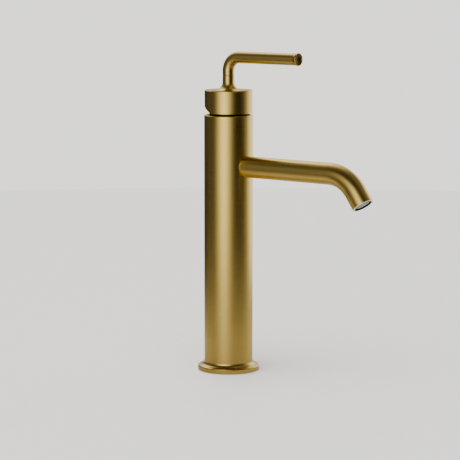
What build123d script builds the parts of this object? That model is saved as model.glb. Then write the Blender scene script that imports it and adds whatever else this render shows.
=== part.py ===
from build123d import *
import math
import os

# Tall single-lever basin mixer. Millimetres, +Z up, +X along the spout and the lever.
# The origin is the centre of the base where it seats on the deck.

# column and base
COLUMN_R = 24.0
COLUMN_BORE_R = 21.5
COLUMN_TOP = 254.5
FLANGE_R = 30.4
FLANGE_RIM = 5.0
COVE_R = 4.0
FOOT_GAP = 1.0

# spout
SPOUT_R = 10.45
SPOUT_BORE_R = 8.95
SPOUT_Z = 204.45
SPOUT_START = 17.0
BEND_START = 124.6
BEND_R = 37.5
BEND_DEG = 55.0
TIP_LENGTH = 14.35
MOUTH_R = 8.35

# handle
CAP_R = 23.6
CAP_BORE_R = 21.8
CAP_BOTTOM = 256.4
CAP_TOP = 279.1
CAP_CEILING = 274.8
BOSS_R = 8.5
BOSS_BOTTOM = 262.5
NECK_R = 5.7
NECK_FLARE = 8.0
SEAM_Z = 293.1
SEAM_EDGE = 0.35
RELIEF_X = -3.1
RELIEF_DEG = 27.0
RELIEF_REACH = 30.0
RELIEF_DROP = 5.0
LEVER_R = 5.7
LEVER_Z = 311.4
LEVER_BEND_R = 13.5
LEVER_END = 86.9
LIP_R = 6.25
LIP_LENGTH = 3.4
STUD_R = 2.5
STUD_BOTTOM = 286.0
STUD_TOP = 299.0
SCREW_Z = 271.6
PLUG_R = 2.9

# stem and its pivot
PIVOT_Z = 251.0
PIN_R = 1.5
BALL_R = 3.0
BALL_Z = 241.5
STEM_X = 7.0
STEM_Y = 8.0
STEM_TOP = 275.5
RUNNING = 0.05

# cartridge and valve body
SEAT_Z = 222.0
BODY_BOTTOM = 186.0
BODY_TOP = 252.0
SEAT_R = 17.4
NUT_R = 19.0
NUT_BORE_R = 16.0
NUT_TOP = 252.6
SHOULDER_Z = 244.0
LIP_Z = 248.0
HOUSING_TOP = 250.8
CHAMBER_R = 15.2
TURRET_R = 14.0
TURRET_NECK_R = 10.8
DISC_R = 12.0
DISC_OFFSET = -1.8
DISC_PLANE = 234.4
DISC_DEPTH = 4.0
DISC_TOP = 238.4
CARRIER_TOP = 242.6
PORT_X = 4.0
PORT_Y = 7.2
PORT_R = 3.0
OUTLET_X = -7.0
OUTLET_R = 3.5
SPIGOT_R = 7.0
SPIGOT_START = 8.0
SOCKET_END = 40.0
SOCKET_BORE_R = 4.6
DOWEL_R = 2.0
DOWEL_DEPTH = 2.5
DOWEL_SPREAD = 1.6

# seals: how far each stands out from the bore it closes, and how deep its groove is
PORT_SEAL = 1.2
OUTLET_SEAL = 1.3
SEAL_DEPTH = 1.4
RISER_RING = 1.4
RISER_RING_LOW = 189.0
RISER_RING_HIGH = 191.0
SPOUT_RING = 1.2
SPOUT_RING_WIDTH = 1.6
SPOUT_RINGS = (10.0, 13.2)

# aerator, as depths back from the mouth
AERATOR_BORE_R = 6.8
SEAL_BACK = -10.0
AERATOR_BACK = -9.4
REGULATOR_BACK = -8.6
REGULATOR_FRONT = -4.9
INSERT_BACK = -4.5
INSERT_SHOULDER = -3.6
INSERT_FACE = -1.3
INSERT_R = 7.55
CELL_R = 0.85
CELL_PITCH_R = 1.05
CELL_FIELD_R = 6.35

# tails and deck fixing
TAIL_R = 5.0
TAIL_BORE_R = 4.0
TAIL_TOP = 196.0
TAIL_BOTTOM = -118.0
TAIL_GROOVE_Z = -58.0
SHANK_R = 16.0
SHANK_BORE_R = 13.5
DECK = 30.0
WASHER_R = 28.0
LOCK_NUT_R = 27.0
JACK_PCD_R = 21.5
JACK_R = 2.5

UPRIGHT = (Align.CENTER, Align.CENTER, Align.MIN)
MIDDLE = (Align.CENTER, Align.CENTER, Align.CENTER)


def turn(outline, about=Plane.XY, mode=Mode.ADD):
    """Revolve an outline of (radius, height) points about a plane's own axis."""
    side = Plane(origin=about.origin, x_dir=about.x_dir, z_dir=-about.y_dir)
    with BuildSketch(side) as face:
        with BuildLine():
            Polyline(*outline, close=True)
        make_face()
    revolve(face.sketch, axis=Axis(about.origin, about.z_dir), mode=mode)


def post(radius, low, high, x=0.0, y=0.0, mode=Mode.ADD):
    """An upright cylinder between two heights."""
    with Locations((x, y, low)):
        Cylinder(radius, high - low, align=UPRIGHT, mode=mode)


def ring(inner, outer, low, high, x=0.0, y=0.0):
    """An upright ring between two heights."""
    post(outer, low, high, x, y)
    post(inner, low, high, x, y, mode=Mode.SUBTRACT)


def rod(radius, start, end, z, mode=Mode.ADD):
    """A cylinder along X between two stations."""
    with Locations(Plane(origin=(start, 0, z), x_dir=(0, 1, 0), z_dir=(1, 0, 0))):
        Cylinder(radius, end - start, align=UPRIGHT, mode=mode)


def block(x_range, half_y, z_range, mode=Mode.ADD):
    """A box given by its X range, half its width and its Z range."""
    x_mid = (x_range[0] + x_range[1]) / 2
    z_mid = (z_range[0] + z_range[1]) / 2
    size = (x_range[1] - x_range[0], 2 * half_y, z_range[1] - z_range[0])
    with Locations((x_mid, 0, z_mid)):
        Box(*size, align=MIDDLE, mode=mode)


def save(part, label):
    """Name one solid and write it out."""
    part.part.label = label
    export_step(part.part, f"parts/{label}.step")


bend = math.radians(BEND_DEG)
tip_x = BEND_START + BEND_R * math.sin(bend) + TIP_LENGTH * math.cos(bend)
tip_z = SPOUT_Z - BEND_R * (1 - math.cos(bend)) - TIP_LENGTH * math.sin(bend)
MOUTH = Plane(origin=(tip_x, 0, tip_z), x_dir=(0, 1, 0), z_dir=(math.cos(bend), 0, -math.sin(bend)))
PORTS = [(PORT_X, PORT_Y), (PORT_X, -PORT_Y)]

os.makedirs("parts", exist_ok=True)

# ---- base and column ----

with BuildPart() as base_flange:
    with BuildSketch(Plane.XZ):
        with BuildLine():
            underside = Polyline(
                (COLUMN_R + 0.3, FLANGE_RIM + COVE_R),
                (COLUMN_R, FLANGE_RIM + COVE_R),
                (COLUMN_R, 0),
                (COLUMN_R + 1.0, 0),
                (COLUMN_R + 1.0, 1.5),
                (COLUMN_R + 4.5, 1.5),
                (COLUMN_R + 4.5, 0),
                (FLANGE_R - 0.4, 0),
                (FLANGE_R, 0.4),
                (FLANGE_R, FLANGE_RIM - 1.0),
                (FLANGE_R - 0.3, FLANGE_RIM - 0.3),
                (FLANGE_R - 1.0, FLANGE_RIM),
                (COLUMN_R + 0.3 + COVE_R, FLANGE_RIM),
            )
            RadiusArc(underside @ 1, underside @ 0, COVE_R)
        make_face()
    revolve(axis=Axis.Z)
save(base_flange, "base_flange")

with BuildPart() as base_seal:
    ring(COLUMN_R + 1.0, COLUMN_R + 4.5, 0, 1.5)
save(base_seal, "base_seal")

with BuildPart() as column_shell:
    turn([
        (COLUMN_BORE_R, FOOT_GAP),
        (COLUMN_R, FOOT_GAP),
        (COLUMN_R, COLUMN_TOP - 0.6),
        (COLUMN_R - 0.6, COLUMN_TOP),
        (COLUMN_BORE_R, COLUMN_TOP),
    ])
    rod(SPOUT_R, SPOUT_START, COLUMN_R + 2, SPOUT_Z, mode=Mode.SUBTRACT)
save(column_shell, "column_shell")

with BuildPart() as base_plug:
    ring(SHANK_R, COLUMN_BORE_R, FOOT_GAP, 14.0)
save(base_plug, "base_plug")

# ---- deck fixing ----

with BuildPart() as mounting_shank:
    ring(SHANK_BORE_R, SHANK_R, -52.0, 14.0)
    chamfer(mounting_shank.edges().filter_by(GeomType.CIRCLE).group_by(Axis.Z)[0], 0.6)
save(mounting_shank, "mounting_shank")

with BuildPart() as rubber_washer:
    ring(SHANK_R + 0.5, WASHER_R, -DECK - 2.0, -DECK)
save(rubber_washer, "rubber_washer")

with BuildPart() as clamp_washer:
    ring(SHANK_R + 0.5, WASHER_R, -DECK - 4.0, -DECK - 2.0)
save(clamp_washer, "clamp_washer")

with BuildPart() as lock_nut:
    ring(SHANK_R, LOCK_NUT_R, -DECK - 16.0, -DECK - 7.0)
    with PolarLocations(JACK_PCD_R, 3, start_angle=60):
        with Locations((0, 0, -DECK - 17.0)):
            Cylinder(JACK_R, 11.0, align=UPRIGHT, mode=Mode.SUBTRACT)
    with PolarLocations(LOCK_NUT_R, 6, start_angle=30):
        with Locations((0, 0, -DECK - 11.5)):
            Box(5.0, 5.0, 9.0, mode=Mode.SUBTRACT)
save(lock_nut, "lock_nut")

with BuildPart() as jack_screws:
    with PolarLocations(JACK_PCD_R, 3, start_angle=60):
        with Locations((0, 0, -DECK - 20.0)):
            Cylinder(JACK_R, 16.0, align=UPRIGHT)
        with Locations((0, 0, -DECK - 24.0)):
            Cylinder(4.2, 4.0, align=UPRIGHT)
        with Locations((0, 0, -DECK - 24.0)):
            Cylinder(1.8, 2.5, align=UPRIGHT, mode=Mode.SUBTRACT)
save(jack_screws, "jack_screws")


def tail(y):
    """One inlet tail: a straight tube with a fitting stop rolled into its lower end."""
    turn_plane = Plane(origin=(PORT_X, y, 0))
    turn([
        (TAIL_BORE_R, TAIL_BOTTOM),
        (TAIL_R, TAIL_BOTTOM),
        (TAIL_R, TAIL_GROOVE_Z),
        (TAIL_R - 0.4, TAIL_GROOVE_Z + 0.4),
        (TAIL_R - 0.4, TAIL_GROOVE_Z + 1.6),
        (TAIL_R, TAIL_GROOVE_Z + 2.0),
        (TAIL_R, TAIL_TOP),
        (TAIL_BORE_R, TAIL_TOP),
    ], about=turn_plane)


with BuildPart() as hot_riser_tube:
    tail(-PORT_Y)
save(hot_riser_tube, "hot_riser_tube")

with BuildPart() as cold_riser_tube:
    tail(PORT_Y)
save(cold_riser_tube, "cold_riser_tube")

# ---- valve body inside the column ----

with BuildPart() as valve_body:
    post(COLUMN_BORE_R, BODY_BOTTOM, BODY_TOP)
    post(SEAT_R, SEAT_Z, BODY_TOP, mode=Mode.SUBTRACT)
    post(NUT_R, SHOULDER_Z, BODY_TOP, mode=Mode.SUBTRACT)
    for port_x, port_y in PORTS:
        post(PORT_R, TAIL_TOP, SEAT_Z, port_x, port_y, mode=Mode.SUBTRACT)
        post(TAIL_R, BODY_BOTTOM, TAIL_TOP, port_x, port_y, mode=Mode.SUBTRACT)
        post(TAIL_R + RISER_RING, RISER_RING_LOW, RISER_RING_HIGH, port_x, port_y, mode=Mode.SUBTRACT)
        dowel = (DOWEL_R, SEAT_Z - DOWEL_DEPTH, SEAT_Z, -port_x, port_y * DOWEL_SPREAD)
        post(*dowel, mode=Mode.SUBTRACT)
    post(OUTLET_R, SPOUT_Z, SEAT_Z, OUTLET_X, 0, mode=Mode.SUBTRACT)
    rod(OUTLET_R - 0.3, OUTLET_X - 2.0, 9.0, SPOUT_Z, mode=Mode.SUBTRACT)
    rod(SPIGOT_R, SPIGOT_START, SPOUT_START, SPOUT_Z, mode=Mode.SUBTRACT)
    rod(SPOUT_R, SPOUT_START, COLUMN_R, SPOUT_Z, mode=Mode.SUBTRACT)
save(valve_body, "valve_body")

with BuildPart() as riser_o_rings:
    for port_x, port_y in PORTS:
        ring(TAIL_R, TAIL_R + RISER_RING, RISER_RING_LOW, RISER_RING_HIGH, port_x, port_y)
save(riser_o_rings, "riser_o_rings")

# ---- cartridge ----

with BuildPart() as cartridge_base:
    post(SEAT_R, SEAT_Z, SEAT_Z + 3.0)
    post(CHAMBER_R, SEAT_Z + 3.0, DISC_PLANE - DISC_DEPTH)
    for port_x, port_y in PORTS:
        post(PORT_R, SEAT_Z, DISC_PLANE, port_x, port_y, mode=Mode.SUBTRACT)
        post(PORT_R + PORT_SEAL, SEAT_Z, SEAT_Z + SEAL_DEPTH, port_x, port_y, mode=Mode.SUBTRACT)
        post(DOWEL_R, SEAT_Z - DOWEL_DEPTH, SEAT_Z + 1.0, -port_x, port_y * DOWEL_SPREAD)
    post(OUTLET_R, SEAT_Z, DISC_PLANE, OUTLET_X, 0, mode=Mode.SUBTRACT)
    post(OUTLET_R + OUTLET_SEAL, SEAT_Z, SEAT_Z + SEAL_DEPTH, OUTLET_X, 0, mode=Mode.SUBTRACT)
save(cartridge_base, "cartridge_base")

with BuildPart() as port_seals:
    for port_x, port_y in PORTS:
        ring(PORT_R, PORT_R + PORT_SEAL, SEAT_Z, SEAT_Z + SEAL_DEPTH, port_x, port_y)
    ring(OUTLET_R, OUTLET_R + OUTLET_SEAL, SEAT_Z, SEAT_Z + SEAL_DEPTH, OUTLET_X, 0)
save(port_seals, "port_seals")

with BuildPart() as fixed_ceramic_disc:
    post(CHAMBER_R, DISC_PLANE - DISC_DEPTH, DISC_PLANE)
    for port_x, port_y in PORTS:
        post(PORT_R, DISC_PLANE - DISC_DEPTH, DISC_PLANE, port_x, port_y, mode=Mode.SUBTRACT)
    post(OUTLET_R, DISC_PLANE - DISC_DEPTH, DISC_PLANE, OUTLET_X, 0, mode=Mode.SUBTRACT)
save(fixed_ceramic_disc, "fixed_ceramic_disc")

with BuildPart() as cartridge_housing:
    turn([
        (CHAMBER_R, SEAT_Z + 3.0),
        (SEAT_R, SEAT_Z + 3.0),
        (SEAT_R, SHOULDER_Z),
        (NUT_BORE_R, SHOULDER_Z),
        (NUT_BORE_R, HOUSING_TOP),
        (TURRET_NECK_R + 0.1, HOUSING_TOP),
        (TURRET_NECK_R + 0.1, LIP_Z),
        (TURRET_R + RUNNING, LIP_Z),
        (TURRET_R + RUNNING, 243.9),
        (CHAMBER_R, 243.9),
    ])
save(cartridge_housing, "cartridge_housing")

with BuildPart() as temperature_limit_ring:
    ring(TURRET_NECK_R + 0.6, CHAMBER_R, HOUSING_TOP, HOUSING_TOP + 1.8)
    with PolarLocations(CHAMBER_R, 24):
        with Locations((0, 0, HOUSING_TOP + 1.3)):
            Box(0.8, 0.8, 1.0, mode=Mode.SUBTRACT)
save(temperature_limit_ring, "temperature_limit_ring")

with BuildPart() as retaining_nut:
    ring(NUT_BORE_R, NUT_R, SHOULDER_Z, NUT_TOP)
    with PolarLocations(NUT_R - 1.0, 6):
        with Locations((0, 0, NUT_TOP - 0.8)):
            Box(2.4, 2.4, 1.6, mode=Mode.SUBTRACT)
save(retaining_nut, "retaining_nut")

with BuildPart() as cover_ring:
    turn([
        (12.2, NUT_TOP),
        (18.9, NUT_TOP),
        (18.9, 258.4),
        (18.5, 258.8),
        (17.2, 258.8),
        (17.0, 258.6),
        (17.0, 254.0),
        (12.2, 254.0),
    ])
save(cover_ring, "cover_ring")

with BuildPart() as stem_carrier:
    post(TURRET_R, SHOULDER_Z, LIP_Z - 0.1)
    post(TURRET_NECK_R, LIP_Z - 0.1, 253.6)
    block((-5.3, 6.2), STEM_Y / 2 + RUNNING, (240.0, 256.0), mode=Mode.SUBTRACT)
    block((-20.0, 20.0), 7.0 + RUNNING, (240.0, 245.5), mode=Mode.SUBTRACT)
    with Locations((0, 0, PIVOT_Z)):
        Cylinder(PIN_R + 0.03, 30.0, rotation=(90, 0, 0), mode=Mode.SUBTRACT)
save(stem_carrier, "stem_carrier")

with BuildPart() as moving_ceramic_disc:
    post(DISC_R, DISC_PLANE + 0.03, DISC_TOP, DISC_OFFSET, 0)
    block((-10.0, 1.4), 6.0, (DISC_PLANE, DISC_PLANE + 2.2), mode=Mode.SUBTRACT)
save(moving_ceramic_disc, "moving_ceramic_disc")

with BuildPart() as disc_carrier:
    post(DISC_R, DISC_TOP, CARRIER_TOP, DISC_OFFSET, 0)
    block((DISC_OFFSET - 8.0, DISC_OFFSET + 8.0), 7.0, (CARRIER_TOP, 245.4))
    block((-BALL_R - 0.09, BALL_R + 0.09), BALL_R + 0.5, (DISC_TOP, 246.0), mode=Mode.SUBTRACT)
    block((-4.7, 4.7), BALL_R + 0.5, (243.2, 246.0), mode=Mode.SUBTRACT)
save(disc_carrier, "disc_carrier")

with BuildPart() as cartridge_stem:
    block((-STEM_X / 2, STEM_X / 2), STEM_Y / 2, (246.8, STEM_TOP))
    chamfer(cartridge_stem.edges().filter_by(Axis.Z), 0.8)
    post(2.1, BALL_Z, 247.0)
    with Locations((0, 0, BALL_Z)):
        Sphere(BALL_R)
    with Locations((0, 0, PIVOT_Z)):
        Cylinder(PIN_R, 30.0, rotation=(90, 0, 0), mode=Mode.SUBTRACT)
save(cartridge_stem, "cartridge_stem")

with BuildPart() as pivot_pin:
    with Locations((0, 0, PIVOT_Z)):
        Cylinder(PIN_R, 20.8, rotation=(90, 0, 0))
save(pivot_pin, "pivot_pin")

# ---- handle ----

with BuildPart() as handle_cap:
    with BuildSketch(Plane.XZ):
        with BuildLine():
            body_line = Polyline(
                (NECK_R, CAP_TOP + NECK_FLARE),
                (NECK_R, SEAM_Z - SEAM_EDGE),
                (NECK_R - SEAM_EDGE, SEAM_Z),
                (0, SEAM_Z),
                (0, BOSS_BOTTOM),
                (BOSS_R, BOSS_BOTTOM),
                (BOSS_R, CAP_CEILING),
                (CAP_BORE_R, CAP_CEILING),
                (CAP_BORE_R, CAP_BOTTOM),
                (CAP_R - 0.2, CAP_BOTTOM),
                (CAP_R, CAP_BOTTOM + 0.2),
                (CAP_R, CAP_TOP - 0.7),
                (CAP_R - 0.7, CAP_TOP),
                (NECK_R + NECK_FLARE, CAP_TOP),
            )
            RadiusArc(body_line @ 1, body_line @ 0, NECK_FLARE)
        make_face()
    revolve(axis=Axis.Z)
    with BuildSketch(Plane.XZ) as relief:
        far_x = RELIEF_X - RELIEF_REACH
        rise = RELIEF_REACH * math.tan(math.radians(RELIEF_DEG))
        with BuildLine():
            Polyline(
                (RELIEF_X, CAP_BOTTOM),
                (far_x, CAP_BOTTOM + rise),
                (far_x, CAP_BOTTOM - RELIEF_DROP),
                (RELIEF_X, CAP_BOTTOM - RELIEF_DROP),
                close=True,
            )
        make_face()
    extrude(relief.sketch, amount=2 * CAP_R, both=True, mode=Mode.SUBTRACT)
    block((-STEM_X / 2, STEM_X / 2), STEM_Y / 2, (BOSS_BOTTOM - 1, STEM_TOP + 0.3), mode=Mode.SUBTRACT)
    post(STUD_R, STUD_BOTTOM, SEAM_Z + 1, mode=Mode.SUBTRACT)
    rod(STUD_R, -BOSS_R - 1, -STEM_X / 2 + 0.5, SCREW_Z, mode=Mode.SUBTRACT)
    rod(PLUG_R, -CAP_R - 2, -CAP_BORE_R + 1, SCREW_Z, mode=Mode.SUBTRACT)
save(handle_cap, "handle_cap")

with BuildPart() as handle_set_screw:
    rod(STUD_R, -8.4, -STEM_X / 2, SCREW_Z)
    with BuildSketch(Plane(origin=(-8.4, 0, SCREW_Z), x_dir=(0, 1, 0), z_dir=(1, 0, 0))):
        RegularPolygon(1.25, 6, major_radius=False)
    extrude(amount=2.0, mode=Mode.SUBTRACT)
save(handle_set_screw, "handle_set_screw")

with BuildPart() as set_screw_plug:
    rod(PLUG_R, -CAP_R - 1, -CAP_BORE_R + 0.6, SCREW_Z)
    with BuildSketch(Plane.XY):
        Circle(CAP_R)
    extrude(amount=CAP_TOP, mode=Mode.INTERSECT)
save(set_screw_plug, "set_screw_plug")

with BuildPart() as lever_stud:
    post(STUD_R, STUD_BOTTOM, STUD_TOP)
    chamfer(lever_stud.edges().filter_by(GeomType.CIRCLE), 0.4)
save(lever_stud, "lever_stud")

with BuildPart() as lever_rod:
    with BuildLine(Plane.XZ):
        upright = Line((0, SEAM_Z), (0, LEVER_Z - LEVER_BEND_R))
        elbow = JernArc(upright @ 1, upright % 1, LEVER_BEND_R, -90)
        Line(elbow @ 1, (LEVER_END - LIP_LENGTH, LEVER_Z))
    with BuildSketch(Plane.XY.offset(SEAM_Z)):
        Circle(LEVER_R)
    sweep()
    end_plane = Plane(origin=(LEVER_END, 0, LEVER_Z), x_dir=(0, 1, 0), z_dir=(1, 0, 0))
    turn([
        (0, -LIP_LENGTH),
        (LEVER_R, -LIP_LENGTH),
        (LIP_R, -0.9),
        (LIP_R, -0.3),
        (LIP_R - 0.3, 0),
        (LIP_R - 0.8, 0),
        (LIP_R - 1.6, -0.9),
        (LIP_R - 3.2, -1.8),
        (0, -2.5),
    ], about=end_plane)
    post(STUD_R, SEAM_Z, STUD_TOP, mode=Mode.SUBTRACT)
    foot_edges = lever_rod.edges().filter_by(GeomType.CIRCLE).group_by(Axis.Z)[0]
    chamfer(foot_edges.sort_by(SortBy.RADIUS)[-1], SEAM_EDGE)
save(lever_rod, "lever_rod")

# ---- spout ----

with BuildPart() as spout_tube:
    with BuildLine(Plane.XZ) as spout_run:
        level = Line((SPOUT_START, SPOUT_Z), (BEND_START, SPOUT_Z))
        drop = JernArc(level @ 1, level % 1, BEND_R, -BEND_DEG)
        Line(drop @ 1, (tip_x, tip_z))
    with BuildSketch(Plane.YZ.offset(SPOUT_START)):
        with Locations((0, SPOUT_Z)):
            Circle(SPOUT_R)
            Circle(SPOUT_BORE_R, mode=Mode.SUBTRACT)
    sweep()
save(spout_tube, "spout_tube")

with BuildPart() as spout_socket:
    rod(SPIGOT_R, SPIGOT_START, SPOUT_START, SPOUT_Z)
    rod(SPOUT_BORE_R, SPOUT_START, SOCKET_END, SPOUT_Z)
    rod(SOCKET_BORE_R, SPIGOT_START, SOCKET_END, SPOUT_Z, mode=Mode.SUBTRACT)
    for start in SPOUT_RINGS:
        end = start + SPOUT_RING_WIDTH
        rod(SPIGOT_R + 1, start, end, SPOUT_Z, mode=Mode.SUBTRACT)
        rod(SPIGOT_R - SPOUT_RING, start - 0.2, end + 0.2, SPOUT_Z)
        rod(SOCKET_BORE_R, start - 0.2, end + 0.2, SPOUT_Z, mode=Mode.SUBTRACT)
save(spout_socket, "spout_socket")

with BuildPart() as spout_o_rings:
    for start in SPOUT_RINGS:
        end = start + SPOUT_RING_WIDTH
        rod(SPIGOT_R, start, end, SPOUT_Z)
        rod(SPIGOT_R - SPOUT_RING, start, end, SPOUT_Z, mode=Mode.SUBTRACT)
save(spout_o_rings, "spout_o_rings")

with BuildPart() as aerator_housing:
    turn([
        (AERATOR_BORE_R, AERATOR_BACK),
        (SPOUT_BORE_R, AERATOR_BACK),
        (SPOUT_BORE_R, 0.1),
        (SPOUT_BORE_R - 0.2, 0.3),
        (MOUTH_R + 0.15, 0.3),
        (MOUTH_R, 0.15),
        (MOUTH_R, REGULATOR_BACK),
        (AERATOR_BORE_R, REGULATOR_BACK),
    ], about=MOUTH)
save(aerator_housing, "aerator_housing")

with BuildPart() as aerator_seal:
    turn([
        (AERATOR_BORE_R, SEAL_BACK),
        (SPOUT_BORE_R, SEAL_BACK),
        (SPOUT_BORE_R, AERATOR_BACK),
        (AERATOR_BORE_R, AERATOR_BACK),
    ], about=MOUTH)
save(aerator_seal, "aerator_seal")

with BuildPart() as flow_regulator:
    turn([
        (1.6, REGULATOR_BACK),
        (MOUTH_R, REGULATOR_BACK),
        (MOUTH_R, -6.2),
        (6.0, -6.2),
        (6.0, -5.2),
        (MOUTH_R, -5.2),
        (MOUTH_R, REGULATOR_FRONT),
        (1.6, REGULATOR_FRONT),
    ], about=MOUTH)
save(flow_regulator, "flow_regulator")

with BuildPart() as aerator_mesh:
    turn([
        (0, REGULATOR_FRONT),
        (MOUTH_R, REGULATOR_FRONT),
        (MOUTH_R, INSERT_BACK),
        (0, INSERT_BACK),
    ], about=MOUTH)
save(aerator_mesh, "aerator_mesh")

with BuildPart() as aerator_insert:
    turn([
        (0, INSERT_BACK),
        (MOUTH_R, INSERT_BACK),
        (MOUTH_R, INSERT_SHOULDER),
        (INSERT_R, INSERT_SHOULDER),
        (INSERT_R, INSERT_FACE - 0.2),
        (INSERT_R - 0.2, INSERT_FACE),
        (0, INSERT_FACE),
    ], about=MOUTH)
    cells = HexLocations(CELL_PITCH_R, 7, 7).local_locations
    with BuildSketch(MOUTH.offset(INSERT_BACK - 0.5)):
        with Locations(*[cell for cell in cells if cell.position.length < CELL_FIELD_R]):
            RegularPolygon(CELL_R, 6, major_radius=False)
    extrude(amount=5.0, mode=Mode.SUBTRACT)
save(aerator_insert, "aerator_insert")
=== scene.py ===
import math

import bmesh
import bpy
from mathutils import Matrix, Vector


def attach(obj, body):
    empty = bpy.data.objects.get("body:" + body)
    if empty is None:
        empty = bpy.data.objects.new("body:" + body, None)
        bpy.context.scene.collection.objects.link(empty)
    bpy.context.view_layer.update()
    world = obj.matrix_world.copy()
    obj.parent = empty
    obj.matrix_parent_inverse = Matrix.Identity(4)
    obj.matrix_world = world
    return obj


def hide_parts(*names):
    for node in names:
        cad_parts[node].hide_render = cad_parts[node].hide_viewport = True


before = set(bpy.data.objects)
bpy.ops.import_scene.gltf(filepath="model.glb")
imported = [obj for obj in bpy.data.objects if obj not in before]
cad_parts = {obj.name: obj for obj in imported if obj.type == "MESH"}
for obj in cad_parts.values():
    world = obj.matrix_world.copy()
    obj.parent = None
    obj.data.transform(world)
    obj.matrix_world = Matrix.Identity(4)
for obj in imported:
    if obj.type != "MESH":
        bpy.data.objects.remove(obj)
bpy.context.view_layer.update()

# ---- sizes, in metres, in the CAD frame ----

SPOUT_R = 0.01045
SPOUT_BORE_R = 0.00895
SPOUT_Z = 0.20445
SPOUT_START = 0.0170
BEND_START = 0.1246
BEND_R = 0.0375
BEND = math.radians(55.0)
TIP_LENGTH = 0.01435
MOUTH_ROUND = 0.0004
# depth back from the tip of the painted highlight on the mouth edge
MOUTH_HIGHLIGHT = 0.00035

SEAM_Z = 0.2931
SEAM_EDGE = 0.00035
LEVER_R = 0.0057
LEVER_BORE_R = 0.45 * LEVER_R
LEVER_Z = 0.3114
LEVER_BEND_R = 0.0135
LEVER_END = 0.0869
LIP_R = 0.00625
LIP_LENGTH = 0.0034
LIP_FRONT = 0.0009
LIP_ROUND = 0.00045
DISH_R = LIP_R - 2 * LIP_ROUND
DISH_DEPTH = 0.0023
DISH_ZONE_R = LIP_R - 0.0007
DISH_ZONE_DEPTH = 0.0040

# lengths that the brushing runs over, where a skin turns a corner
RIM_TURN = 0.0020
LIP_BAND = 0.0004

TIP = Vector((
    BEND_START + BEND_R * math.sin(BEND) + TIP_LENGTH * math.cos(BEND),
    0.0,
    SPOUT_Z - BEND_R * (1 - math.cos(BEND)) - TIP_LENGTH * math.sin(BEND),
))
TIP_DIR = Vector((math.cos(BEND), 0.0, -math.sin(BEND)))

# ---- small mesh and node tools ----


def new_object(name, mesh):
    """A linked object whose faces are smooth, with sharp edges kept by angle."""
    obj = bpy.data.objects.new(name, mesh)
    bpy.context.scene.collection.objects.link(obj)
    for polygon in mesh.polygons:
        polygon.use_smooth = True
    mesh.set_sharp_from_angle(angle=math.radians(35))
    return obj


def swept(name, stations, sides=96):
    """A skin through rings. Each station is (centre, direction, radius, distance along)."""
    bm = bmesh.new()
    uv = bm.loops.layers.uv.new("along")
    repeats_per_metre = 20
    across = Vector((0, 1, 0))
    rings = []
    for centre, direction, radius, _ in stations:
        up = direction.cross(across)
        rings.append([
            bm.verts.new(centre + radius * (math.cos(a) * across + math.sin(a) * up))
            for a in (2 * math.pi * i / sides for i in range(sides))
        ])
    for k in range(len(rings) - 1):
        for i in range(sides):
            j = (i + 1) % sides
            corners = (rings[k][i], rings[k][j], rings[k + 1][j], rings[k + 1][i])
            face = bm.faces.new(corners)
            spots = ((i, k), (i + 1, k), (i + 1, k + 1), (i, k + 1))
            for loop, (turn, step) in zip(face.loops, spots):
                loop[uv].uv = (turn / sides, stations[step][3] * repeats_per_metre)
    bmesh.ops.remove_doubles(bm, verts=bm.verts, dist=1e-7)
    bmesh.ops.recalc_face_normals(bm, faces=bm.faces)
    mesh = bpy.data.meshes.new(name)
    bm.to_mesh(mesh)
    bm.free()
    return new_object(name, mesh)


class Nodes:
    """A node material, with the few kinds of node that the finishes share."""

    def __init__(self, name):
        self.material = bpy.data.materials.new(name)
        self.material.use_nodes = True
        self.tree = self.material.node_tree
        self.shader = self.tree.nodes["Principled BSDF"]

    def add(self, kind, **values):
        """A node, with each value put on its input of that name or on the node itself."""
        node = self.tree.nodes.new(kind)
        for key, value in values.items():
            if key in node.inputs:
                node.inputs[key].default_value = value
            else:
                setattr(node, key, value)
        return node

    def link(self, source, target):
        self.tree.links.new(source, target)

    def noise(self, where, scale, detail, roughness=0.5):
        node = self.add("ShaderNodeTexNoise", Scale=scale, Detail=detail, Roughness=roughness)
        self.link(where, node.inputs["Vector"])
        return node.outputs["Fac"]

    def ranged(self, source, before, after, **kind):
        """A value mapped from one (low, high) range to another."""
        node = self.add("ShaderNodeMapRange", **kind)
        names = ("From Min", "From Max", "To Min", "To Max")
        for key, value in zip(names, (*before, *after)):
            node.inputs[key].default_value = value
        self.link(source, node.inputs["Value"])
        return node.outputs["Result"]

    def mixed(self, factor, first, second):
        """A blend of two colours."""
        node = self.add("ShaderNodeMix", data_type="RGBA")
        node.inputs["A"].default_value = (*first, 1)
        node.inputs["B"].default_value = (*second, 1)
        self.link(factor, node.inputs["Factor"])
        return node.outputs["Result"]

    def bump(self, height, depth):
        node = self.add("ShaderNodeBump", Strength=1.0, Distance=depth)
        self.link(height, node.inputs["Height"])
        self.link(node.outputs["Normal"], self.shader.inputs["Normal"])


def put(obj, material):
    """The material on every slot of an object."""
    if not obj.material_slots:
        obj.data.materials.append(material)
    for slot in obj.material_slots:
        slot.material = material


# ---- materials ----


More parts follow.
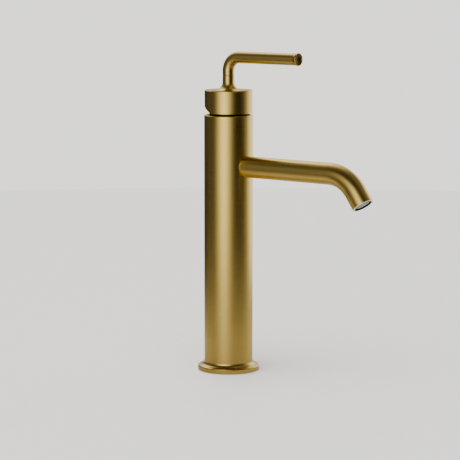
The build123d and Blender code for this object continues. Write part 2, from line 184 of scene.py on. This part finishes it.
def brushed_metal(name, colour, roughness, stretch, source="Object", depth=0.000008,
                  anisotropy=0.6, turn=0.25, tangent=None, contrast=0.055, wear=0.035):
    """Metal with fine parallel brushing. stretch is the noise frequency per metre on each axis."""
    m = Nodes(name)
    where = m.add("ShaderNodeTexCoord")
    spread = m.add("ShaderNodeMapping")
    spread.inputs["Scale"].default_value = stretch
    m.link(where.outputs[source], spread.inputs["Vector"])
    lines = m.noise(spread.outputs["Vector"], 1.0, 4.0, 0.65)
    clouds = m.noise(where.outputs["Object"], 42.0, 3.0, 0.55)

    darker = [c * f for c, f in zip(colour, (0.93, 0.90, 0.84))]
    scaled = m.add("ShaderNodeVectorMath", operation="SCALE")
    m.link(m.mixed(clouds, colour, darker), scaled.inputs[0])
    m.link(m.ranged(lines, (0.3, 0.7), (1.0 - contrast, 1.0 + contrast)), scaled.inputs["Scale"])
    m.link(scaled.outputs["Vector"], m.shader.inputs["Base Color"])

    rough = m.ranged(lines, (0.25, 0.75), (roughness - wear, roughness + wear))
    m.link(rough, m.shader.inputs["Roughness"])
    m.bump(lines, depth)

    m.shader.inputs["Metallic"].default_value = 1.0
    m.shader.inputs["Anisotropic"].default_value = anisotropy
    m.shader.inputs["Anisotropic Rotation"].default_value = turn
    if tangent:
        along = m.add("ShaderNodeTangent", **tangent)
        m.link(along.outputs["Tangent"], m.shader.inputs["Tangent"])
    return m.material


def moulded(name, colour, roughness, grain=900.0, depth=0.00002, metallic=0.0, spread=0.08):
    """Plastic, rubber, ceramic, or a pale edge painted as a highlight, with a fine uneven surface."""
    m = Nodes(name)
    where = m.add("ShaderNodeTexCoord").outputs["Object"]
    fine = m.noise(where, grain, 3.0, 0.6)
    wide = m.noise(where, 60.0, 2.0)
    darker = [c * (1 - 2 * spread) for c in colour]
    m.link(m.mixed(wide, colour, darker), m.shader.inputs["Base Color"])
    rough = m.ranged(fine, (0.0, 1.0), (max(0.02, roughness - spread), min(1.0, roughness + spread)))
    m.link(rough, m.shader.inputs["Roughness"])
    m.bump(fine, depth)
    m.shader.inputs["Metallic"].default_value = metallic
    return m.material


BRASS = (0.80, 0.602, 0.218)
AROUND_Z = {"direction_type": "RADIAL", "axis": "Z"}
ALONG_UV = {"direction_type": "UV_MAP", "uv_map": "along"}

column_brass = brushed_metal("column_brass", BRASS, 0.30, (60, 60, 5200), tangent=AROUND_Z)
flange_brass = brushed_metal("flange_brass", BRASS, 0.20, (60, 60, 5200), tangent=AROUND_Z,
                             anisotropy=0.4)
tube_brass = brushed_metal("tube_brass", BRASS, 0.30, (4, 260, 1), source="UV", tangent=ALONG_UV,
                           depth=0.000003)
lip_brass = brushed_metal("lip_brass", BRASS, 0.26, (300, 300, 300), anisotropy=0.0, contrast=0.02)
# painted shade: the dish inside the lever's end lip is brass darkened to stand in for the shade in the
# recess
dish_painted_shade = brushed_metal("dish_painted_shade", (0.34, 0.25, 0.09), 0.34, (300, 300, 300), anisotropy=0.0,
                           contrast=0.02)
# painted shade: the cover ring in the gap under the cap is coloured near-black to stand in for the
# shadow there
cover_ring_painted_shade = brushed_metal("cover_ring_painted_shade", (0.06, 0.05, 0.035), 0.40, (60, 60, 5200), anisotropy=0.3,
                           tangent=AROUND_Z)
machined = brushed_metal("machined_brass", (0.72, 0.55, 0.26), 0.30, (60, 60, 3000), anisotropy=0.3,
                         tangent=AROUND_Z, contrast=0.1)
copper = brushed_metal("drawn_copper", (0.80, 0.42, 0.26), 0.28, (1500, 1500, 30), anisotropy=0.0)
steel = brushed_metal("plain_steel", (0.60, 0.60, 0.61), 0.28, (300, 300, 2500), anisotropy=0.2,
                      tangent=AROUND_Z)
mesh_steel = brushed_metal("mesh_steel", (0.55, 0.55, 0.56), 0.30, (800, 800, 800), anisotropy=0.0)
seal_rubber = moulded("seal_rubber", (0.02, 0.02, 0.02), 0.70, spread=0.10)
dark_plastic = moulded("dark_plastic", (0.05, 0.05, 0.055), 0.45)
red_plastic = moulded("red_plastic", (0.50, 0.05, 0.04), 0.42)
white_plastic = moulded("white_plastic", (0.78, 0.78, 0.75), 0.42)
grey_plastic = moulded("grey_plastic", (0.62, 0.63, 0.65), 0.38)
# painted highlight: a pale, mostly non-metal colour on the spout's mouth edge stands in for the light
# that edge reflects
rim_painted_highlight = moulded("rim_painted_highlight", (0.95, 0.85, 0.64), 0.25, metallic=0.3, spread=0.03)
disc_ceramic = moulded("disc_ceramic", (0.86, 0.85, 0.82), 0.20, depth=0.000005)

NODE_MATERIALS = {
    column_brass: ("column_shell", "handle_cap", "set_screw_plug"),
    flange_brass: ("base_flange",),
    cover_ring_painted_shade: ("cover_ring",),
    machined: ("base_plug", "valve_body", "spout_socket", "mounting_shank", "lock_nut", "retaining_nut"),
    copper: ("hot_riser_tube", "cold_riser_tube"),
    steel: ("clamp_washer", "jack_screws", "handle_set_screw", "lever_stud", "cartridge_stem",
            "pivot_pin"),
    mesh_steel: ("aerator_mesh",),
    seal_rubber: ("base_seal", "rubber_washer", "riser_o_rings", "port_seals", "spout_o_rings",
                  "aerator_seal"),
    dark_plastic: ("cartridge_base", "cartridge_housing", "aerator_housing"),
    red_plastic: ("temperature_limit_ring",),
    white_plastic: ("stem_carrier", "disc_carrier", "flow_regulator"),
    grey_plastic: ("aerator_insert",),
    disc_ceramic: ("fixed_ceramic_disc", "moving_ceramic_disc"),
}
for material, names in NODE_MATERIALS.items():
    for name in names:
        put(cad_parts[name], material)


def finish_end(skin, *finishes):
    """Brushed brass all over, then each (material, chosen) pair on the faces it picks by centre."""
    skin.data.materials.append(tube_brass)
    for index, (material, chosen) in enumerate(finishes, start=1):
        skin.data.materials.append(material)
        for polygon in skin.data.polygons:
            if chosen(polygon.center):
                polygon.material_index = index


# ---- spout tube ----


def spout_path(level_steps=24, bend_steps=48):
    """Points along the spout's centreline: (centre, direction, distance along)."""
    forward = Vector((1, 0, 0))
    level = BEND_START - SPOUT_START
    points = []
    for i in range(level_steps + 1):
        s = level * i / level_steps
        points.append((Vector((SPOUT_START + s, 0, SPOUT_Z)), forward, s))
    for i in range(1, bend_steps + 1):
        a = BEND * i / bend_steps
        centre = Vector((BEND_START + BEND_R * math.sin(a), 0, SPOUT_Z - BEND_R * (1 - math.cos(a))))
        points.append((centre, Vector((math.cos(a), 0, -math.sin(a))), level + BEND_R * a))
    length = level + BEND_R * BEND + TIP_LENGTH - MOUTH_ROUND
    points.append((TIP - TIP_DIR * MOUTH_ROUND, TIP_DIR, length))
    return points


def make_spout(round_steps=6):
    """The brushed tube with its rounded mouth edge and its bore."""
    path = spout_path()
    length = path[-1][2]
    stations = [(centre, direction, SPOUT_R, s) for centre, direction, s in path]
    for i in range(1, round_steps + 1):
        a = math.pi / 2 * i / round_steps
        back = MOUTH_ROUND * (1 - math.sin(a))
        radius = SPOUT_R - MOUTH_ROUND * (1 - math.cos(a))
        stations.append((TIP - TIP_DIR * back, TIP_DIR, radius, length + MOUTH_ROUND * math.sin(a)))
    stations.append((TIP, TIP_DIR, SPOUT_BORE_R, length + SPOUT_R - SPOUT_BORE_R))
    for centre, direction, s in reversed(path):
        stations.append((centre, direction, SPOUT_BORE_R, 2 * length - s + RIM_TURN))
    first, direction, _ = path[0]
    stations.append((first, direction, SPOUT_R, 2 * (length + RIM_TURN)))
    return swept("spout_skin", stations)


def at_mouth(centre):
    """True on the flat edge of the mouth, which is painted pale as a highlight."""
    return (centre - TIP).dot(TIP_DIR) > -MOUTH_HIGHLIGHT


spout = make_spout()
finish_end(spout, (rim_painted_highlight, at_mouth))
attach(spout, "mixer")
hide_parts("spout_tube")

# ---- lever rod ----


def level_station(x, radius, along):
    """A ring on the lever's level run."""
    return (Vector((x, 0, LEVER_Z)), Vector((1, 0, 0)), radius, along)


def lever_stem(foot_steps=4, bend_steps=40, rod_steps=20):
    """Stations from the seam, up and round the bend, to where the lip starts."""
    up = Vector((0, 0, 1))
    bend_z = LEVER_Z - LEVER_BEND_R
    rise = bend_z - SEAM_Z
    stations = [
        (Vector((0, 0, SEAM_Z)), up, LEVER_BORE_R, 0.0),
        (Vector((0, 0, SEAM_Z)), up, LEVER_R - SEAM_EDGE, 0.0),
    ]
    for i in range(1, foot_steps + 1):
        a = math.pi / 2 * i / foot_steps
        lift = SEAM_EDGE * (1 - math.cos(a))
        radius = LEVER_R - SEAM_EDGE * (1 - math.sin(a))
        stations.append((Vector((0, 0, SEAM_Z + lift)), up, radius, lift))
    stations.append((Vector((0, 0, bend_z)), up, LEVER_R, rise))
    for i in range(1, bend_steps + 1):
        a = math.pi / 2 * i / bend_steps
        centre = Vector((LEVER_BEND_R * (1 - math.cos(a)), 0, bend_z + LEVER_BEND_R * math.sin(a)))
        direction = Vector((math.sin(a), 0, math.cos(a)))
        stations.append((centre, direction, LEVER_R, rise + LEVER_BEND_R * a))
    turned = rise + LEVER_BEND_R * math.pi / 2
    run = LEVER_END - LIP_LENGTH - LEVER_BEND_R
    for i in range(1, rod_steps + 1):
        s = run * i / rod_steps
        stations.append(level_station(LEVER_BEND_R + s, LEVER_R, turned + s))
    return stations


def lever_end(start, flare_steps=10, round_steps=8, dish_steps=16):
    """Stations over the flared lip, round its edge and down into the dish."""
    stations = []
    flare = LIP_LENGTH - LIP_FRONT
    for i in range(1, flare_steps + 1):
        t = i / flare_steps
        radius = LEVER_R + (LIP_R - LEVER_R) * t * t * (3 - 2 * t)
        stations.append(level_station(LEVER_END - LIP_LENGTH + flare * t, radius, start + flare * t))
    start += flare + LIP_BAND
    for i in range(round_steps + 1):
        a = math.pi * i / round_steps
        x = LEVER_END - LIP_ROUND * (1 - math.sin(a))
        radius = LIP_R - LIP_ROUND * (1 - math.cos(a))
        stations.append(level_station(x, radius, start + LIP_ROUND * a))
    start += LIP_ROUND * math.pi
    dish_ball = (DISH_R ** 2 + DISH_DEPTH ** 2) / (2 * DISH_DEPTH)
    steepest = math.asin(DISH_R / dish_ball)
    for i in range(1, dish_steps + 1):
        a = steepest * (1 - i / dish_steps)
        x = LEVER_END - LIP_ROUND - dish_ball * (math.cos(a) - math.cos(steepest))
        stations.append(level_station(x, dish_ball * math.sin(a), start + DISH_R * i / dish_steps))
    return stations


def make_lever():
    """The lever: upright, bend, level rod, flared lip and dished end."""
    stem = lever_stem()
    return swept("lever_skin", stem + lever_end(stem[-1][3]), sides=80)


def on_lip(centre):
    """True on the flared lip."""
    return centre.x > LEVER_END - LIP_LENGTH


def in_dish(centre):
    """True inside the lip at the lever's end, where the painted shade goes."""
    radial = math.hypot(centre.y, centre.z - LEVER_Z)
    return centre.x > LEVER_END - DISH_ZONE_DEPTH and radial < DISH_ZONE_R


lever = make_lever()
finish_end(lever, (lip_brass, on_lip), (dish_painted_shade, in_dish))
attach(lever, "handle")
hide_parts("lever_rod")

# ---- studio ----

CAMERA_AZIMUTH = 39.42
CAMERA_REACH = 1.964
CAMERA_HEIGHT = 0.4061
CAMERA_TILT = 7.718
CAMERA_LENS = 156.24
CAMERA_SHIFT_X = 0.0033

FLOOR_R = 1.6
FLOOR_Z = -0.0002
NEAR_FLOOR_R = 0.55
NEAR_FLOOR_Z = -0.0004
FADE_LENGTH = 0.40
# painted shadow: the near floor's glow is dimmed close around the base
BASE_SHADE = ((0.04, 0.17), (0.55, 1.0))
NEAR_FLOOR_GLOW = 0.46


def compass(azimuth, elevation=0.0):
    """A direction from degrees. Azimuth 0 is towards -Y, and 90 is towards +X."""
    a, e = math.radians(azimuth), math.radians(elevation)
    return (math.sin(a) * math.cos(e), -math.cos(a) * math.cos(e), math.sin(e))


def disc(name, radius, height):
    """A flat round piece of floor."""
    bm = bmesh.new()
    bmesh.ops.create_circle(bm, cap_ends=True, radius=radius, segments=128)
    bmesh.ops.translate(bm, verts=bm.verts, vec=(0, 0, height))
    mesh = bpy.data.meshes.new(name)
    bm.to_mesh(mesh)
    bm.free()
    floor = bpy.data.objects.new(name, mesh)
    bpy.context.scene.collection.objects.link(floor)
    return floor


def fading_glow():
    """Painted light for the metal to mirror: a glow bright near the base and falling away to dark,
    dimmed close round the base as painted shadow.
    """
    m = Nodes("floor_glow_fade")
    where = m.add("ShaderNodeTexCoord")
    reach = m.add("ShaderNodeVectorMath", operation="LENGTH")
    m.link(where.outputs["Object"], reach.inputs[0])
    fall = m.add("ShaderNodeMath", operation="MULTIPLY")
    fall.inputs[1].default_value = -1 / FADE_LENGTH
    m.link(reach.outputs["Value"], fall.inputs[0])
    far = m.add("ShaderNodeMath", operation="EXPONENT")
    m.link(fall.outputs["Value"], far.inputs[0])
    # painted shadow around the base, then the glow's fall-off with distance
    shade = m.ranged(reach.outputs["Value"], *BASE_SHADE, interpolation_type="SMOOTHSTEP")
    level = m.add("ShaderNodeMath", operation="MULTIPLY")
    m.link(far.outputs["Value"], level.inputs[0])
    m.link(shade, level.inputs[1])
    tint = m.add("ShaderNodeVectorMath", operation="SCALE")
    tint.inputs[0].default_value = (0.95, 0.93, 0.90)
    m.link(level.outputs["Value"], tint.inputs["Scale"])
    m.link(tint.outputs["Vector"], m.shader.inputs["Base Color"])
    m.shader.inputs["Roughness"].default_value = 0.9
    m.shader.inputs["Emission Color"].default_value = (1.0, 0.97, 0.92, 1)
    glow = m.add("ShaderNodeMath", operation="MULTIPLY")
    glow.inputs[1].default_value = NEAR_FLOOR_GLOW
    m.link(level.outputs["Value"], glow.inputs[0])
    m.link(glow.outputs["Value"], m.shader.inputs["Emission Strength"])
    return m.material


def plain_floor():
    """The pale surface under the base, and the smaller glowing one that the metal mirrors."""
    wide = disc("floor", FLOOR_R, FLOOR_Z)
    wide.visible_glossy = False
    put(wide, moulded("floor_paint", (0.80, 0.79, 0.77), 0.6, grain=300, spread=0.02))
    near = disc("floor_near", NEAR_FLOOR_R, NEAR_FLOOR_Z)
    near.visible_camera = False
    near.visible_diffuse = False
    near.visible_shadow = False
    put(near, fading_glow())


def soft_sun(azimuth, elevation, strength, spread):
    """One very broad light from above, which the metal itself doesn't mirror."""
    data = bpy.data.lights.new("soft_sun", "SUN")
    data.energy = strength
    data.angle = math.radians(spread)
    lamp = bpy.data.objects.new("soft_sun", data)
    bpy.context.scene.collection.objects.link(lamp)
    away = Vector(compass(azimuth, elevation))
    lamp.rotation_euler = (-away).to_track_quat("-Z", "Y").to_euler()
    lamp.visible_glossy = False


def studio_world(backdrop, room, panels, glows):
    """A pale backdrop for the camera; a dim room with soft lights for everything else.

    Each panel is (azimuth, spread, strength), upright and as tall as the room's lower half.
    Each glow is (azimuth, elevation, spread, strength), round. Angles are in degrees.
    """
    world = bpy.data.worlds.new("studio")
    world.use_nodes = True
    tree = world.node_tree

    def node(kind, *sources, output=0, **settings):
        """A node fed by sockets or plain values, in the order of its inputs."""
        made = tree.nodes.new(kind)
        for key, value in settings.items():
            setattr(made, key, value)
        for slot, source in enumerate(sources):
            if isinstance(source, bpy.types.NodeSocket):
                tree.links.new(source, made.inputs[slot])
            else:
                made.inputs[slot].default_value = source
        return made.outputs[output]

    def lobe(look, aim, spread, strength):
        """Light that falls away smoothly around one direction."""
        towards = node("ShaderNodeVectorMath", look, aim, operation="DOT_PRODUCT", output="Value")
        half = node("ShaderNodeMath", towards, 0.5, 0.5, operation="MULTIPLY_ADD")
        glow = node("ShaderNodeMath", half, 2 / math.radians(spread) ** 2, operation="POWER")
        return node("ShaderNodeMath", glow, strength, operation="MULTIPLY")

    gaze = node("ShaderNodeTexCoord", output="Generated")
    flat = node("ShaderNodeVectorMath", gaze, (1, 1, 0), operation="MULTIPLY")
    level = node("ShaderNodeVectorMath", flat, operation="NORMALIZE")
    total = 0.0
    for azimuth, spread, strength in panels:
        part = lobe(level, compass(azimuth), spread, strength)
        total = node("ShaderNodeMath", total, part, operation="ADD")
    height = node("ShaderNodeSeparateXYZ", gaze, output="Z")
    fade = node("ShaderNodeMapRange", height, 0.30, 0.75, 1.0, 0.0, interpolation_type="SMOOTHSTEP")
    total = node("ShaderNodeMath", total, fade, operation="MULTIPLY")
    for azimuth, elevation, spread, strength in glows:
        part = lobe(gaze, compass(azimuth, elevation), spread, strength)
        total = node("ShaderNodeMath", total, part, operation="ADD")
    total = node("ShaderNodeMath", total, room, operation="ADD")

    around = tree.nodes["Background"]
    around.inputs["Color"].default_value = (1.0, 0.99, 0.97, 1)
    tree.links.new(total, around.inputs["Strength"])
    pale = node("ShaderNodeBackground", (*backdrop, 1))
    seen = node("ShaderNodeLightPath", output="Is Camera Ray")
    either = node("ShaderNodeMixShader", seen, around.outputs["Background"], pale)
    tree.links.new(either, tree.nodes["World Output"].inputs["Surface"])
    bpy.context.scene.world = world


def photo_camera():
    """A long lens at the photograph's direction, height and distance, tilted down at the faucet."""
    data = bpy.data.cameras.new("camera")
    camera = bpy.data.objects.new("camera", data)
    bpy.context.scene.collection.objects.link(camera)
    a = math.radians(CAMERA_AZIMUTH)
    camera.location = (CAMERA_REACH * math.sin(a), -CAMERA_REACH * math.cos(a), CAMERA_HEIGHT)
    camera.rotation_euler = (math.radians(90 - CAMERA_TILT), 0, a)
    data.sensor_width = 36.0
    data.lens = CAMERA_LENS
    data.shift_x = CAMERA_SHIFT_X
    bpy.context.scene.camera = camera


plain_floor()
studio_world(
    backdrop=(1.16, 1.14, 1.11),
    room=0.014,
    panels=(
        (CAMERA_AZIMUTH - 22, 21, 1.5),
        (CAMERA_AZIMUTH - 100, 24, 0.07),
        (CAMERA_AZIMUTH + 138, 27, 1.2),
    ),
    glows=(
        (CAMERA_AZIMUTH - 165, 42, 17, 1.5),
        (CAMERA_AZIMUTH - 110, 45, 28, 0.08),
        (CAMERA_AZIMUTH + 88, 50, 24, 0.18),
    ),
)
soft_sun(CAMERA_AZIMUTH - 40, 66, 3.7, 75)
photo_camera()
bpy.context.scene.view_settings.view_transform = "AgX"
bpy.context.scene.view_settings.look = "AgX - Medium High Contrast"
